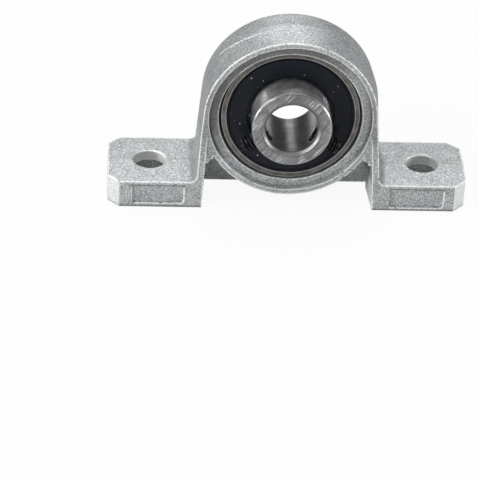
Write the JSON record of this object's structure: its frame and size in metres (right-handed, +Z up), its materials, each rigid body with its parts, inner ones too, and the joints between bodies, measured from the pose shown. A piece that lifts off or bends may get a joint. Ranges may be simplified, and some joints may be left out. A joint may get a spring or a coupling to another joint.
{
  "type": "pillow block bearing",
  "caption": "Pillow block bearing: a die-cast base with bolt-down feet holds a self-aligning sealed ball bearing, whose collar locks to a small shaft with set screws.",
  "frame": {"origin": "on the mounting plane, straight below the middle of the bearing and midway between the two bolt holes", "axes": "+X along the feet, +Y along the shaft of the aligned bearing, towards the back, +Z up; the collar with the set screws is at the front, on the -Y side. At rest the insert, which is free to align, leans 2.9 degrees back in its seat, with its collar up; self_align at +2.9 degrees brings the bore parallel to Y"},
  "size_m": [0.055, 0.0155, 0.0285],
  "materials": {
    "zinc_casting": "as-cast light grey zinc, fine speckle",
    "bearing_steel": "ground and turned",
    "cage_steel": "pressed sheet, satin",
    "seal_rubber": "moulded nitrile rubber, slightly glossy",
    "plain_steel": "flat sheet, unseen",
    "black_oxide_steel": "black oxide"
  },
  "bodies": {
    "housing": {"housing": "zinc_casting"},
    "insert": {"outer_ring": "bearing_steel", "seal_front": "seal_rubber", "seal_rear": "seal_rubber", "seal_front_stiffener": "plain_steel", "seal_rear_stiffener": "plain_steel"},
    "inner_ring": {"inner_ring": "bearing_steel"},
    "cage": {"cage_front": "cage_steel", "cage_rear": "cage_steel", "cage_rivet_1": "cage_steel", "cage_rivet_2": "cage_steel", "cage_rivet_3": "cage_steel", "cage_rivet_4": "cage_steel", "cage_rivet_5": "cage_steel", "cage_rivet_6": "cage_steel", "cage_rivet_7": "cage_steel"},
    "ball_1": {"ball_1": "bearing_steel"},
    "ball_2": {"ball_2": "bearing_steel"},
    "ball_3": {"ball_3": "bearing_steel"},
    "ball_4": {"ball_4": "bearing_steel"},
    "ball_5": {"ball_5": "bearing_steel"},
    "ball_6": {"ball_6": "bearing_steel"},
    "ball_7": {"ball_7": "bearing_steel"},
    "set_screw_left": {"set_screw_left": "black_oxide_steel"},
    "set_screw_right": {"set_screw_right": "black_oxide_steel"}
  },
  "joints": [
    {"name": "self_align", "type": "hinge", "parent": "housing", "child": "insert", "pos_m": [0, -0.00075, 0.015], "axis": [1, 0, 0], "range_deg": [-1.1, 6.9]},
    {"name": "shaft_spin", "type": "hinge", "parent": "insert", "child": "inner_ring", "pos_m": [0, -0.00075, 0.015], "axis": [0, 0.9987, -0.0506], "continuous": true},
    {"name": "cage_orbit", "type": "hinge", "parent": "insert", "child": "cage", "pos_m": [0, -0.00075, 0.015], "axis": [0, 0.9987, -0.0506], "continuous": true},
    {"name": "ball_1_spin", "type": "hinge", "parent": "cage", "child": "ball_1", "pos_m": [0, -0.00037, 0.02249], "axis": [0, 0.9987, -0.0506], "continuous": true},
    {"name": "ball_2_spin", "type": "hinge", "parent": "cage", "child": "ball_2", "pos_m": [-0.00586, -0.00051, 0.01967], "axis": [0, 0.9987, -0.0506], "continuous": true},
    {"name": "ball_3_spin", "type": "hinge", "parent": "cage", "child": "ball_3", "pos_m": [-0.00731, -0.00083, 0.01333], "axis": [0, 0.9987, -0.0506], "continuous": true},
    {"name": "ball_4_spin", "type": "hinge", "parent": "cage", "child": "ball_4", "pos_m": [-0.00325, -0.00109, 0.00825], "axis": [0, 0.9987, -0.0506], "continuous": true},
    {"name": "ball_5_spin", "type": "hinge", "parent": "cage", "child": "ball_5", "pos_m": [0.00325, -0.00109, 0.00825], "axis": [0, 0.9987, -0.0506], "continuous": true},
    {"name": "ball_6_spin", "type": "hinge", "parent": "cage", "child": "ball_6", "pos_m": [0.00731, -0.00083, 0.01333], "axis": [0, 0.9987, -0.0506], "continuous": true},
    {"name": "ball_7_spin", "type": "hinge", "parent": "cage", "child": "ball_7", "pos_m": [0.00586, -0.00051, 0.01967], "axis": [0, 0.9987, -0.0506], "continuous": true},
    {"name": "set_screw_left_travel", "type": "slide", "parent": "inner_ring", "child": "set_screw_left", "axis": [-0.866, -0.0253, -0.4994], "range_m": [-0.0013, 0.0004]},
    {"name": "set_screw_right_travel", "type": "slide", "parent": "inner_ring", "child": "set_screw_right", "axis": [0.866, -0.0253, -0.4994], "range_m": [-0.0013, 0.0004]}
  ],
  "couplings": [
    {"joint": "cage_orbit", "follows": "shaft_spin", "ratio": 0.3677},
    {"joint": "ball_1_spin", "follows": "shaft_spin", "ratio": -1.7573},
    {"joint": "ball_2_spin", "follows": "shaft_spin", "ratio": -1.7573},
    {"joint": "ball_3_spin", "follows": "shaft_spin", "ratio": -1.7573},
    {"joint": "ball_4_spin", "follows": "shaft_spin", "ratio": -1.7573},
    {"joint": "ball_5_spin", "follows": "shaft_spin", "ratio": -1.7573},
    {"joint": "ball_6_spin", "follows": "shaft_spin", "ratio": -1.7573},
    {"joint": "ball_7_spin", "follows": "shaft_spin", "ratio": -1.7573}
  ]
}
